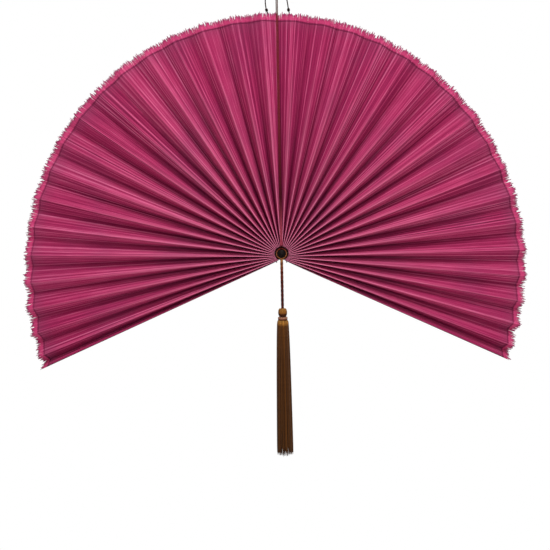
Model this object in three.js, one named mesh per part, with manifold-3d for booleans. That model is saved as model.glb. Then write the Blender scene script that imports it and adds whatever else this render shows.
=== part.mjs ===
// A large wall fan folded from a dyed bamboo mat.
// Millimetres, +Z up. The fan hangs on a nail at the origin, with its front towards -Y and the wall at +Y.
// Its folds stand round a hub that lies straight below the nail.
import * as THREE from 'three';
import { mergeVertices } from 'three/addons/utils/BufferGeometryUtils.js';
import Module from 'manifold-3d';

const wasm = await Module();
wasm.setup();

// Clearance between neighbouring pieces
const GAP = 0.4;

// Slivers that drilling leaves are merged into the faces beside them when they are thinner than this
const SLIVER_TOLERANCE = 0.02;

// The mat: one strip folded into panels of equal width
const PLEATS_PER_SIDE = 17;
const PANEL_WIDTH = 32;
const MAT_THICKNESS = 0.9;
const SHALLOWEST_FOLD = 7;
const SQUEEZED_SHARE = 0.56;

// How the folds spread round the hub, in degrees
const MIDDLE_FOLD_ANGLE = 89.9;
const SPREAD_ANGLE = 89.6;
const HALF_PITCH_ANGLE = 3.605;
const PACKED_PITCH_ANGLE = 4.5;
const END_PANEL_ANGLE_LEFT = 0.8;
const END_PANEL_ANGLE_RIGHT = 1.5;
const END_TIGHTENING_SHARE = 0.36;
const TIGHTENING_POWER = 4;

// The rim: the mat is trimmed to a circle that is not quite centred on the hub, and reaches a little further
// out at its two ends
const RIM_RADIUS = 484;
const RIM_SHIFT_X = -12.4;
const RIM_SHIFT_Z = -19.8;
const END_REACH_LEFT = 9;
const END_REACH_RIGHT = 3;
const END_REACH_POWER = 6;
const FRINGE_LENGTH = 16;
const FRINGE_ROOT = 8;
const SLIVER_TIPS_PER_PANEL = 4;
const END_TIP_TRIM = 0.25;

// The hub
const HUB_DROP = 596;
const DRUM_RADIUS = 13.4;
const DRUM_FRONT = -7;
const DRUM_PROUD = 1;
const DRUM_EDGE = 1.2;
const DRUM_CLEARANCE = 0.6;
const PEG_RADIUS = 3.6;
const BEAD_RADIUS = 8.9;
const BEAD_HEIGHT = 5.6;
const BEAD_BACK_HEIGHT = 2.4;
const BEAD_BACK_EDGE = 0.6;
const GROOVE_DEPTH = 0.7;
const GROOVE_WIDTH = 3;
const LOOP_DEPTH = 15.5;

// Cords
const LACING_DIAMETER = 1.6;
const LACING_INSET = 7;
const LACING_KNOT_RADIUS = 2.4;
const LOOP_CORD_DIAMETER = 2;
const HANGING_CORD_DIAMETER = 2.2;
const HANGING_CORD_SPACING = 0.3;
const HANGING_CORD_TURN_DEPTH = -9.1;
const SIDE_CORD_DIAMETER = 2.6;
const SIDE_CORD_START = 4.4;
const SIDE_KNOT_RADIUS = 2.4;
const SIDE_KNOT_LENGTH = 3.6;

// The gathering knot and the loop on the nail
const GATHER_KNOT_RADIUS = 7;
const GATHER_KNOT_HEIGHT = 14;
const GATHER_KNOT_BASE = 566;
const NAIL_LOOP_CORD_DIAMETER = 3;

// The tassel
const TASSEL_STRAND_DIAMETER = 3;
const TASSEL_CORD_LAY = 18;
const TASSEL_CORD_TAPER_LENGTH = 4;
const TASSEL_CORD_TIP_SHARE = 0.5;
const TASSEL_BEAD_TOP = 108.2;
const TASSEL_BEAD_RADIUS = 9;
const TASSEL_BEAD_HEIGHT = 16.8;
const NECK_RADIUS = 9.6;
const NECK_HEIGHT = 5.8;
const SKIRT_LENGTH = 265;
const SKIRT_TOP_RADIUS = 10.8;
const SKIRT_BOTTOM_RADIUS = 16.4;
const SKIRT_FLUTES = 14;
const SKIRT_FLUTE_DEPTH = 1.5;

// Sizes that follow from the ones above
const PLEAT_INNER_RADIUS = DRUM_RADIUS + DRUM_CLEARANCE;
const LAST_CREASE = 2 * PLEATS_PER_SIDE;
const FREE_EDGE = LAST_CREASE + 1;
const LACING_RADIUS = PLEAT_INNER_RADIUS + LACING_INSET;
const BEAD_GROOVE_RADIUS = BEAD_RADIUS - GROOVE_DEPTH;
const LOOP_RADIUS = BEAD_GROOVE_RADIUS + GAP + LOOP_CORD_DIAMETER / 2;
const TASSEL_CORD_RADIUS = TASSEL_STRAND_DIAMETER;

const radians = THREE.MathUtils.degToRad;
const wave = (seed) => 0.5 + 0.5 * Math.sin(seed * 12.9898 + Math.sin(seed * 4.1414) * 3);

const dyedBamboo = new THREE.MeshStandardMaterial({ color: 0xb93a72, roughness: 0.62, metalness: 0 });
const darkWood = new THREE.MeshStandardMaterial({ color: 0x2a1512, roughness: 0.6, metalness: 0 });
const blackBead = new THREE.MeshStandardMaterial({ color: 0x17110f, roughness: 0.35, metalness: 0 });
const brownCord = new THREE.MeshStandardMaterial({ color: 0x6d4336, roughness: 0.85, metalness: 0 });
const darkCord = new THREE.MeshStandardMaterial({ color: 0x2b1a1c, roughness: 0.85, metalness: 0 });
const goldenCord = new THREE.MeshStandardMaterial({ color: 0x8a5a2e, roughness: 0.7, metalness: 0 });
const tasselYarn = new THREE.MeshStandardMaterial({ color: 0x6b4420, roughness: 0.8, metalness: 0 });

const fan = new THREE.Group();
const hub = new THREE.Group();
hub.position.z = -HUB_DROP;
fan.add(hub);

function add(name, geometry, material) {
  const mesh = new THREE.Mesh(geometry, material);
  mesh.name = name;
  hub.add(mesh);
}

function solidFromGeometry(geometry) {
  const bare = geometry.clone();
  bare.deleteAttribute('normal');
  bare.deleteAttribute('uv');
  const merged = mergeVertices(bare, 1e-4);
  return new wasm.Manifold(new wasm.Mesh({
    numProp: 3,
    vertProperties: new Float32Array(merged.attributes.position.array),
    triVerts: new Uint32Array(merged.index.array),
  }));
}

function geometryFromSolid(solid) {
  const mesh = solid.getMesh();
  const geometry = new THREE.BufferGeometry();
  geometry.setAttribute('position', new THREE.BufferAttribute(new Float32Array(mesh.vertProperties), 3));
  geometry.setIndex(new THREE.BufferAttribute(new Uint32Array(mesh.triVerts), 1));
  return geometry;
}

// Fold angles. Crease 0 is the valley in the middle, odd creases are ridges and even ones valleys.
// side is 1 to the left of the middle and -1 to the right.
function halfPitch(crease) {
  return HALF_PITCH_ANGLE * (1 - END_TIGHTENING_SHARE * (crease / LAST_CREASE) ** TIGHTENING_POWER);
}

function spreadOf(crease) {
  let sum = 0;
  for (let i = 1; i <= crease; i += 1) sum += halfPitch(i);
  return sum;
}

const CREASE_SPREAD = Array.from({ length: LAST_CREASE + 1 }, (_, crease) => radians(spreadOf(crease)));
const PACKED_PITCH = radians(PACKED_PITCH_ANGLE);

// Far from the hub the creases fan out unevenly, as folded by hand. At the hub they are packed evenly, and the
// thickness of the mat pushes the last pleats further round it than their direction further out.
function creaseAngle(side, crease, radius) {
  const middle = radians(SPREAD_ANGLE);
  let spread = middle + side * CREASE_SPREAD[Math.min(crease, LAST_CREASE)];
  if (crease === 0) spread = radians(MIDDLE_FOLD_ANGLE);
  if (crease === FREE_EDGE) spread += side * radians(side > 0 ? END_PANEL_ANGLE_LEFT : END_PANEL_ANGLE_RIGHT);
  const packed = middle + side * crease * PACKED_PITCH;
  return spread + (packed - spread) * PLEAT_INNER_RADIUS / radius;
}

// Mean angle between a crease and its neighbours
function spacingAt(side, crease, radius) {
  if (crease === 0) return (creaseAngle(1, 1, radius) - creaseAngle(-1, 1, radius)) / 2;
  const near = creaseAngle(side, crease - 1, radius);
  if (crease >= LAST_CREASE) return Math.abs(creaseAngle(side, crease, radius) - near);
  return Math.abs(creaseAngle(side, crease + 1, radius) - near) / 2;
}

// The panels keep their width, so they stand on edge at the hub and lie nearly flat at the rim.
function halfDepth(side, crease, radius) {
  const across = radius * spacingAt(side, crease, radius);
  const depth = Math.sqrt(Math.max(PANEL_WIDTH ** 2 - across ** 2, SHALLOWEST_FOLD ** 2));
  return crease === FREE_EDGE ? depth - halfDepth(side, LAST_CREASE, radius) : depth / 2;
}

function matThickness(side, crease, radius) {
  return Math.min(MAT_THICKNESS, SQUEEZED_SHARE * radius * spacingAt(side, crease, radius));
}

function rimRadius(angle) {
  const shift = Math.hypot(RIM_SHIFT_X, RIM_SHIFT_Z);
  const turn = angle - Math.atan2(RIM_SHIFT_Z, RIM_SHIFT_X);
  const circle = shift * Math.cos(turn) + Math.sqrt(RIM_RADIUS ** 2 - (shift * Math.sin(turn)) ** 2);
  const fromMiddle = (angle - radians(SPREAD_ANGLE)) / CREASE_SPREAD[LAST_CREASE];
  const endReach = fromMiddle > 0 ? END_REACH_LEFT : END_REACH_RIGHT;
  return circle + endReach * Math.abs(fromMiddle) ** END_REACH_POWER;
}

// Radius at a share of the way from the inner end to the rim, and a distance beyond it
function radiusAt(side, crease, share, beyond) {
  const rim = rimRadius(creaseAngle(side, crease, RIM_RADIUS));
  return PLEAT_INNER_RADIUS + (rim - PLEAT_INNER_RADIUS) * share + beyond;
}

function place(angle, radius, depth) {
  return new THREE.Vector3(radius * Math.cos(angle), depth, radius * Math.sin(angle));
}

// Four corners of a panel's section between a valley and a ridge: its front and back face,
// each from the valley end to the ridge end. The front face is cut back at the valley,
// so that a gap stays to the next pleat, and the back face is cut where the two panels meet.
function panelSection(side, valley, ridge, share, beyond) {
  const valleyRadius = radiusAt(side, valley, share, beyond);
  const ridgeRadius = radiusAt(side, ridge, share, beyond);
  const radius = (valleyRadius + ridgeRadius) / 2;
  const start = creaseAngle(side, valley, radius);
  const turn = creaseAngle(side, ridge, radius) - start;
  const across = radius * Math.abs(turn);
  const valleyDepth = halfDepth(side, valley, radius);
  const ridgeDepth = halfDepth(side, ridge, radius);
  const fall = valleyDepth + ridgeDepth;
  const width = Math.hypot(across, fall);
  const half = matThickness(side, ridge, radius) / 2;
  const lean = half * fall / width;

  const frontCut = Math.max(0, (GAP / 2 + lean) * width / across);
  const backCut = Math.max(0, (GAP / 2 - lean) * width / across);
  const meeting = half * fall / across;
  const point = (along, offset) => {
    const sideways = along * across / width - offset * fall / width;
    const depth = valleyDepth - along * fall / width - offset * across / width;
    const part = sideways / across;
    return place(start + turn * part, valleyRadius + (ridgeRadius - valleyRadius) * part, depth);
  };
  return {
    frontValley: point(frontCut, half),
    frontRidge: point(width, half),
    backValley: point(backCut, -half),
    backRidge: point(width - meeting, -half),
  };
}

// Shares of the way from the hub to the rim at which a pleat's section is worked out
const STATION_SHARES = [0, 0.03, 0.1, 0.18, 0.27, 0.36, 0.45, 0.54, 0.63, 0.71, 0.79, 0.86, 0.91, 0.955, 1];

// The two sides of a pleat's section that face the wall, counted from the front of its first panel
const BACK_SIDES = [4, 5];

// One pleat: two panels that meet in a ridge, with the sliver ends as a fringe beyond the rim
function pleatGeometry(side, number) {
  const near = 2 * number - 2;
  const ridge = near + 1;
  const far = near + 2;
  const positions = [];
  const triangles = [];
  const put = (point) => positions.push(point.x, point.y, point.z) / 3 - 1;
  const triangle = (a, b, c) => triangles.push(a, b, c);
  const quad = (a, b, c, d) => triangles.push(a, b, c, a, c, d);

  const ring = (share, beyond) => {
    const one = panelSection(side, near, ridge, share, beyond);
    const two = panelSection(side, far, ridge, share, beyond);
    const back = one.backRidge.clone().lerp(two.backRidge, 0.5);
    return [one.frontValley, one.frontRidge, two.frontRidge, two.frontValley, two.backValley, back, one.backValley];
  };

  const rings = STATION_SHARES.map((share) => ring(share, 0).map(put));
  // A panel twists a little from the hub to the rim, so the front and the back are split along the same
  // diagonals and the mat keeps its thickness
  for (let i = 0; i + 1 < rings.length; i += 1) {
    for (let k = 0; k < 7; k += 1) {
      const next = (k + 1) % 7;
      const corners = [rings[i][k], rings[i][next], rings[i + 1][next], rings[i + 1][k]];
      if (BACK_SIDES.includes(k)) corners.push(corners.shift());
      quad(...corners);
    }
  }
  const [a, b, c, d, e, f, g] = rings[0];
  quad(b, a, g, f);
  triangle(c, b, f);
  quad(d, c, f, e);

  // Fringe: a row of roots along each panel, front and back, with a tip between each two
  const last = rings[rings.length - 1];
  const roots = ring(1, FRINGE_ROOT);
  const ridgeIds = { front: [put(roots[1]), put(roots[2])], back: put(roots[5]) };
  const fringe = (panel, valleyFront, ridgeFront, valleyBack, coarseFront, coarseBack) => {
    const ridgeFrontId = ridgeIds.front[panel];
    const count = SLIVER_TIPS_PER_PANEL;
    const front = [];
    const back = [];
    for (let i = 0; i <= count; i += 1) {
      const share = i / count;
      front.push(i === count ? ridgeFrontId : put(valleyFront.clone().lerp(ridgeFront, share)));
      back.push(i === count ? ridgeIds.back : put(valleyBack.clone().lerp(roots[5], share)));
    }
    const flip = panel === 1;
    const face = (p, q, r) => (flip ? triangle(p, r, q) : triangle(p, q, r));
    for (let i = 0; i < count; i += 1) {
      const fromValley = i < count / 2;
      face(coarseFront[fromValley ? 0 : 1], front[i + 1], front[i]);
      face(coarseBack[fromValley ? 0 : 1], back[i], back[i + 1]);
    }
    const turn = Math.ceil(count / 2);
    face(coarseFront[0], coarseFront[1], front[turn]);
    face(coarseBack[1], coarseBack[0], back[turn]);
    face(coarseFront[0], front[0], back[0]);
    face(coarseFront[0], back[0], coarseBack[0]);

    for (let i = 0; i < count; i += 1) {
      const seed = side * (LAST_CREASE + number) + panel * 0.37 + i * 1.7;
      const reach = FRINGE_ROOT + (FRINGE_LENGTH - FRINGE_ROOT) * (0.45 + 0.55 * wave(seed));
      const tips = ring(1, reach);
      const share = (i + 0.3 + 0.4 * wave(seed + 5)) / count;
      const ends = panel === 0 ? [tips[0], tips[1], tips[6]] : [tips[3], tips[2], tips[4]];
      const tipFront = put(ends[0].clone().lerp(ends[1], share));
      const tipBack = put(ends[2].clone().lerp(tips[5], share));
      face(front[i], front[i + 1], tipFront);
      face(back[i + 1], back[i], tipBack);
      face(front[i], tipFront, tipBack);
      face(front[i], tipBack, back[i]);
      face(tipFront, front[i + 1], back[i + 1]);
      face(tipFront, back[i + 1], tipBack);
    }
  };
  fringe(0, roots[0], roots[1], roots[6], [last[0], last[1]], [last[6], last[5]]);
  fringe(1, roots[3], roots[2], roots[4], [last[3], last[2]], [last[4], last[5]]);
  quad(last[1], last[2], ridgeIds.front[1], ridgeIds.front[0]);
  triangle(ridgeIds.front[0], ridgeIds.front[1], ridgeIds.back);

  const geometry = new THREE.BufferGeometry();
  geometry.setAttribute('position', new THREE.Float32BufferAttribute(positions, 3));
  geometry.setIndex(triangles);
  if (signedVolume(geometry) < 0) flipFaces(geometry);
  return pierceForLacing(geometry, side, ridge);
}

// The strip's last panel stands out in front beyond the last valley, and ends in a free edge
function endPanelGeometry(side) {
  const ring = (share, beyond, trim) => {
    const panel = panelSection(side, LAST_CREASE, FREE_EDGE, share, beyond);
    const { frontValley, frontRidge, backRidge, backValley } = panel;
    return [frontValley.clone().lerp(frontRidge, trim), frontRidge.clone().lerp(frontValley, trim),
      backRidge.clone().lerp(backValley, trim), backValley.clone().lerp(backRidge, trim)];
  };
  const rings = STATION_SHARES.map((share) => ring(share, 0, 0));
  rings.push(ring(1, FRINGE_ROOT, 0), ring(1, FRINGE_LENGTH, END_TIP_TRIM));
  const positions = rings.flat().flatMap((point) => point.toArray());
  const triangles = [0, 1, 2, 0, 2, 3];
  for (let i = 0; i + 1 < rings.length; i += 1) {
    for (let k = 0; k < 4; k += 1) {
      const next = (k + 1) % 4;
      const corners = [4 * i + k, 4 * i + next, 4 * i + 4 + next, 4 * i + 4 + k];
      if (k === 2) corners.push(corners.shift());
      const [a, b, c, d] = corners;
      triangles.push(a, c, b, a, d, c);
    }
  }
  const end = 4 * rings.length - 4;
  triangles.push(end, end + 2, end + 1, end, end + 3, end + 2);
  const geometry = new THREE.BufferGeometry();
  geometry.setAttribute('position', new THREE.Float32BufferAttribute(positions, 3));
  geometry.setIndex(triangles);
  if (signedVolume(geometry) < 0) flipFaces(geometry);
  return pierceForLacing(geometry, side, FREE_EDGE);
}

function signedVolume(geometry) {
  const p = geometry.attributes.position;
  const index = geometry.index.array;
  const [a, b, c] = [new THREE.Vector3(), new THREE.Vector3(), new THREE.Vector3()];
  let sum = 0;
  for (let i = 0; i < index.length; i += 3) {
    a.fromBufferAttribute(p, index[i]);
    b.fromBufferAttribute(p, index[i + 1]);
    c.fromBufferAttribute(p, index[i + 2]);
    sum += a.dot(b.cross(c)) / 6;
  }
  return sum;
}

function flipFaces(geometry) {
  const index = geometry.index.array;
  for (let i = 0; i < index.length; i += 3) [index[i + 1], index[i + 2]] = [index[i + 2], index[i + 1]];
}

// The lacing runs through both panels of every pleat, halfway up their depth.
function pierceForLacing(geometry, side, ridge) {
  const angle = creaseAngle(side, ridge, LACING_RADIUS);
  const length = 4 * LACING_RADIUS * PACKED_PITCH;
  const drill = new THREE.CylinderGeometry(
    LACING_DIAMETER / 2 + GAP, LACING_DIAMETER / 2 + GAP, length, 6);
  drill.rotateZ(Math.PI / 2);
  drill.rotateY(Math.PI / 2 - angle);
  const centre = place(angle, LACING_RADIUS, 0);
  drill.translate(centre.x, centre.y, centre.z);
  const pierced = solidFromGeometry(geometry).subtract(solidFromGeometry(drill));
  return geometryFromSolid(pierced.simplify(SLIVER_TOLERANCE));
}

// A cord's route. Its steps are spread evenly over the chosen points, so they are finest where the cord bends.
class CordRoute extends THREE.CatmullRomCurve3 {
  getUtoTmapping(u) {
    return u;
  }
}

// A round cord along a smooth curve through points
function cordGeometry(points, diameter, steps) {
  const path = new CordRoute(points.map((p) => new THREE.Vector3(...p)), false, 'centripetal');
  const radius = diameter / 2;
  const sides = 8;
  const section = new THREE.Shape();
  for (let i = 0; i < sides; i += 1) {
    const turn = (i + 0.5) / sides * 2 * Math.PI;
    if (i === 0) section.moveTo(radius * Math.cos(turn), radius * Math.sin(turn));
    else section.lineTo(radius * Math.cos(turn), radius * Math.sin(turn));
  }
  section.closePath();
  return new THREE.ExtrudeGeometry(section, { steps, bevelEnabled: false, extrudePath: path });
}

// A turned piece with its axis along Y, from points of radius and depth
function turnedAlongY(profile, segments) {
  return new THREE.LatheGeometry(profile.map(([r, y]) => new THREE.Vector2(r, y)), segments);
}

// A turned piece with its axis along Z, from points of radius and height, lowest first
function turnedAlongZ(profile, segments) {
  const geometry = turnedAlongY(profile, segments);
  geometry.rotateX(Math.PI / 2);
  return geometry;
}

// Bands of thread wound round a piece: a rib for each turn between two heights
function woundProfile(radiusAtHeight, low, high, turns, relief) {
  const profile = [];
  const pitch = (high - low) / turns;
  for (let i = 0; i < turns; i += 1) {
    const base = low + i * pitch;
    profile.push([radiusAtHeight(base) - relief, base]);
    profile.push([radiusAtHeight(base + pitch * 0.3), base + pitch * 0.3]);
    profile.push([radiusAtHeight(base + pitch * 0.7), base + pitch * 0.7]);
  }
  profile.push([radiusAtHeight(high) - relief, high]);
  return profile;
}

function addPleats() {
  for (let number = 1; number <= PLEATS_PER_SIDE; number += 1) {
    const label = String(number).padStart(2, '0');
    add(`pleat_left_${label}`, pleatGeometry(1, number), dyedBamboo);
    add(`pleat_right_${label}`, pleatGeometry(-1, number), dyedBamboo);
  }
  add('end_panel_left', endPanelGeometry(1), dyedBamboo);
  add('end_panel_right', endPanelGeometry(-1), dyedBamboo);
}

const DRUM_BACK = PANEL_WIDTH / 2 + DRUM_PROUD;
const BORE_RADIUS = PEG_RADIUS + GAP;
const BEAD_BACK = -LOOP_DEPTH + GROOVE_WIDTH / 2 + BEAD_BACK_HEIGHT;

// The drum that the inner ends of the pleats stand round, with a bore for the peg
function addDrum() {
  const profile = [
    [BORE_RADIUS, DRUM_FRONT],
    [DRUM_RADIUS - DRUM_EDGE, DRUM_FRONT],
    [DRUM_RADIUS, DRUM_FRONT + DRUM_EDGE],
    [DRUM_RADIUS, DRUM_BACK],
    [BORE_RADIUS, DRUM_BACK],
    [BORE_RADIUS, DRUM_FRONT],
  ];
  add('hub_drum', turnedAlongY(profile, 28), darkWood);
}

// The domed bead with a groove for the tassel's loop and a peg into the drum
function addBead() {
  const grooveFront = -LOOP_DEPTH - GROOVE_WIDTH / 2;
  const grooveBack = -LOOP_DEPTH + GROOVE_WIDTH / 2;
  const profile = [[0, grooveFront - BEAD_HEIGHT]];
  const steps = 5;
  for (let i = 1; i <= steps; i += 1) {
    const turn = i / steps * Math.PI / 2;
    profile.push([BEAD_RADIUS * Math.sin(turn), grooveFront - BEAD_HEIGHT * Math.cos(turn)]);
  }
  profile.push([BEAD_GROOVE_RADIUS, grooveFront + GROOVE_DEPTH]);
  profile.push([BEAD_GROOVE_RADIUS, grooveBack - GROOVE_DEPTH]);
  profile.push([BEAD_RADIUS, grooveBack]);
  profile.push([BEAD_RADIUS * 0.8, BEAD_BACK - BEAD_BACK_EDGE]);
  profile.push([PEG_RADIUS, BEAD_BACK]);
  profile.push([PEG_RADIUS, DRUM_BACK - DRUM_PROUD]);
  profile.push([0, DRUM_BACK - DRUM_PROUD]);
  add('hub_bead', turnedAlongY(profile, 24), blackBead);
}

// The lacing through the pleats, knotted just past the last pleat on each side
function addLacing() {
  const knotReach = (LACING_KNOT_RADIUS + GAP) / LACING_RADIUS;
  const left = creaseAngle(1, FREE_EDGE, LACING_RADIUS) + GAP / LACING_RADIUS;
  const right = creaseAngle(-1, FREE_EDGE, LACING_RADIUS) - GAP / LACING_RADIUS;
  const points = [];
  const count = 24;
  for (let i = 0; i <= count; i += 1) {
    const angle = right + (left - right) * i / count;
    points.push(place(angle, LACING_RADIUS, 0).toArray());
  }
  add('lacing_cord', cordGeometry(points, LACING_DIAMETER, count), brownCord);
  for (const [name, angle, way] of [['left', left, 1], ['right', right, -1]]) {
    const knot = new THREE.SphereGeometry(LACING_KNOT_RADIUS, 10, 7);
    const centre = place(angle + way * knotReach, LACING_RADIUS, 0);
    knot.translate(centre.x, centre.y, centre.z);
    add(`lacing_knot_${name}`, knot, brownCord);
  }
}

// The doubled cord that carries the fan: down from the gathering knot, in front of the fringe, along the
// middle fold, over the inner edge of the mat, round the neck of the bead's peg and back up beside itself
function hangingCordPoints() {
  const reach = (HANGING_CORD_DIAMETER + HANGING_CORD_SPACING) / 2;
  const strand = [
    [0, GATHER_KNOT_BASE - GAP], [1, 510], [1.6, 463], [4.2, 390], [5.6, 330], [5.8, 270], [4.6, 205],
    [2, 155], [-1.2, 118], [-6.2, 90], [-11.4, 72], [-15.9, 58], [-18.2, 46], [-18.9, 36], [-18.9, 20],
    [-18.6, 15.8], [-17.5, 13.4], [-15.6, 12.3], [-12.6, 12.1], [-10.4, 11.2],
  ].map(([y, z]) => [-reach, y, z]);
  const neck = PEG_RADIUS + GAP + HANGING_CORD_DIAMETER / 2;
  const depth = HANGING_CORD_TURN_DEPTH;
  strand.push([-reach - 0.7, depth, 8.4]);
  const turns = [150, 185, 220, 255];
  for (const turn of turns) {
    strand.push([neck * Math.cos(radians(turn)), depth, neck * Math.sin(radians(turn))]);
  }
  const back = strand.map(([x, y, z]) => [-x, y, z]).reverse();
  return [...strand, ...back];
}

function sideCordPoints(side) {
  const start = [side * SIDE_CORD_START, 0, GATHER_KNOT_BASE - GAP];
  if (side < 0) {
    return [
      start, [-5.6, -0.4, 556], [-11.5, -1, 540], [-18.6, -1.8, 523], [-22.3, -2, 508], [-22.7, -1.8, 499],
      [-21.9, -1.4, 491.5], [-20.6, -1, 485.6], [-19.1, -0.2, 480.8], [-18.4, 0.5, 475], [-18.1, 0.8, 462],
    ];
  }
  return [
    start, [5.6, -0.4, 556], [10.8, -1, 540], [16.8, -1.8, 523], [20.1, -2, 507], [21.6, -2, 498],
    [22.6, -1.7, 490.5], [23.3, -1.2, 485.2], [24.6, 0, 479.4], [25, 0.9, 473], [24.6, 1.3, 461],
  ];
}

// A knot round a cord: two lumps turned about the cord's own line, with a bore for the cord
function knotOnCord(centre, direction) {
  const bore = SIDE_CORD_DIAMETER / 2 + GAP;
  const half = SIDE_KNOT_LENGTH;
  const profile = [];
  for (let i = 0; i <= 8; i += 1) {
    const along = -half + 2 * half * i / 8;
    const bulge = Math.abs(Math.sin(Math.PI * i / 4));
    profile.push([bore + 0.5 + (SIDE_KNOT_RADIUS - bore) * bulge, along]);
  }
  profile.push([bore, half]);
  profile.push([bore, -half]);
  profile.push(profile[0]);
  const geometry = turnedAlongY(profile, 10);
  const turn = new THREE.Quaternion().setFromUnitVectors(new THREE.Vector3(0, 1, 0), direction);
  geometry.applyQuaternion(turn);
  geometry.translate(centre.x, centre.y, centre.z);
  return geometry;
}

function addHangingCords() {
  const points = hangingCordPoints();
  add('hanging_cord', cordGeometry(points, HANGING_CORD_DIAMETER, 2 * points.length - 2), brownCord);
  for (const [name, side] of [['left', -1], ['right', 1]]) {
    const route = sideCordPoints(side);
    add(`side_cord_${name}`, cordGeometry(route, SIDE_CORD_DIAMETER, 20), darkCord);
    const [above, middle, below] = route.slice(6, 9).map((point) => new THREE.Vector3(...point));
    add(`side_knot_${name}`, knotOnCord(middle, above.sub(below).normalize()), darkCord);
  }
}

// The knot that gathers the four strands, and the loop that goes over the nail
function addGatherKnot() {
  const top = GATHER_KNOT_BASE + GATHER_KNOT_HEIGHT;
  const swell = (z) => {
    const share = (z - GATHER_KNOT_BASE) / GATHER_KNOT_HEIGHT;
    return GATHER_KNOT_RADIUS * (0.82 + 0.18 * Math.sin(Math.PI * share));
  };
  const wound = woundProfile(swell, GATHER_KNOT_BASE, top, 3, 0.8);
  add('gather_knot', turnedAlongZ([[0, GATHER_KNOT_BASE], ...wound, [0, top]], 16), brownCord);

  const radius = NAIL_LOOP_CORD_DIAMETER / 2;
  const foot = top + GAP;
  const crown = HUB_DROP + radius;
  const spread = (crown - foot) * 0.36;
  const points = [
    [-radius - GAP, 0, foot], [-radius - GAP - 0.3, 0, foot + 1.5], [-spread, 0, foot + (crown - foot) * 0.55],
    [-spread * 0.62, 0, crown - 1.6], [0, 0, crown], [spread * 0.62, 0, crown - 1.6],
    [spread, 0, foot + (crown - foot) * 0.55], [radius + GAP + 0.3, 0, foot + 1.5], [radius + GAP, 0, foot],
  ];
  add('hanging_loop', cordGeometry(points, NAIL_LOOP_CORD_DIAMETER, 20), brownCord);
}

function addTasselLoop() {
  const loop = new THREE.TorusGeometry(LOOP_RADIUS, LOOP_CORD_DIAMETER / 2, 8, 24);
  loop.rotateX(Math.PI / 2);
  loop.translate(0, -LOOP_DEPTH, 0);
  add('tassel_loop', loop, goldenCord);
}

// Two strands laid round each other: a two-lobed section that turns as it goes down
function addTasselCord() {
  const top = -(LOOP_RADIUS + LOOP_CORD_DIAMETER / 2 + GAP);
  const bottom = -(TASSEL_BEAD_TOP + TASSEL_BEAD_HEIGHT) + GAP;
  const count = 38;
  const sides = 10;
  const rings = [];
  for (let i = 0; i <= count; i += 1) {
    const z = top + (bottom - top) * i / count;
    const twist = (z - top) / TASSEL_CORD_LAY * 2 * Math.PI;
    const taper = Math.min(1, TASSEL_CORD_TIP_SHARE
      + (1 - TASSEL_CORD_TIP_SHARE) * (top - z) / TASSEL_CORD_TAPER_LENGTH);
    const ring = [];
    for (let k = 0; k < sides; k += 1) {
      const turn = k / sides * 2 * Math.PI;
      const lobe = TASSEL_CORD_RADIUS * (0.56 + 0.44 * Math.abs(Math.cos(turn)));
      ring.push([taper * lobe * Math.cos(turn + twist), -LOOP_DEPTH + taper * lobe * Math.sin(turn + twist), z]);
    }
    rings.push(ring);
  }
  add('tassel_cord', loft(rings), goldenCord);
}

// Rings of points joined in order, closed at both ends with a point in the middle
function loft(rings, capShift = 0) {
  const positions = [];
  const triangles = [];
  const sides = rings[0].length;
  for (const ring of rings) for (const point of ring) positions.push(...point);
  for (let i = 0; i + 1 < rings.length; i += 1) {
    for (let k = 0; k < sides; k += 1) {
      const a = i * sides + k;
      const b = i * sides + (k + 1) % sides;
      triangles.push(a, b, b + sides, a, b + sides, a + sides);
    }
  }
  for (const [ring, first, flip] of [[rings[0], 0, true], [rings.at(-1), (rings.length - 1) * sides, false]]) {
    const centre = ring.reduce((sum, point) => sum.map((v, axis) => v + point[axis] / sides), [0, 0, 0]);
    const middle = positions.length / 3;
    positions.push(centre[0], centre[1], centre[2] + (flip ? 0 : capShift));
    for (let k = 0; k < sides; k += 1) {
      const a = first + k;
      const b = first + (k + 1) % sides;
      triangles.push(...(flip ? [middle, b, a] : [middle, a, b]));
    }
  }
  const geometry = new THREE.BufferGeometry();
  geometry.setAttribute('position', new THREE.Float32BufferAttribute(positions, 3));
  geometry.setIndex(triangles);
  if (signedVolume(geometry) < 0) flipFaces(geometry);
  return geometry;
}

// The wrapped ball that the cord runs down into, and the band that binds the skirt's head
function addTasselHead() {
  const low = -(TASSEL_BEAD_TOP + TASSEL_BEAD_HEIGHT);
  const high = -TASSEL_BEAD_TOP;
  const bore = TASSEL_CORD_RADIUS + GAP;
  const middle = (low + high) / 2;
  const ball = (z) => {
    const share = (z - middle) / (TASSEL_BEAD_HEIGHT / 2);
    return TASSEL_BEAD_RADIUS * (0.58 + 0.42 * Math.sqrt(Math.max(0, 1 - share * share)));
  };
  const wound = woundProfile(ball, low, high, 5, 0.45);
  const profile = [...wound, [bore, high], [bore, low], wound[0]];
  const bead = turnedAlongZ(profile, 16);
  bead.translate(0, -LOOP_DEPTH, 0);
  add('tassel_bead', bead, goldenCord);

  const neckTop = low - GAP;
  const neckLow = neckTop - NECK_HEIGHT;
  const band = woundProfile(() => NECK_RADIUS, neckLow, neckTop, 3, 0.6);
  const neck = turnedAlongZ([[0, neckLow], ...band, [0, neckTop]], 16);
  neck.translate(0, -LOOP_DEPTH, 0);
  add('tassel_neck', neck, goldenCord);
}

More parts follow.
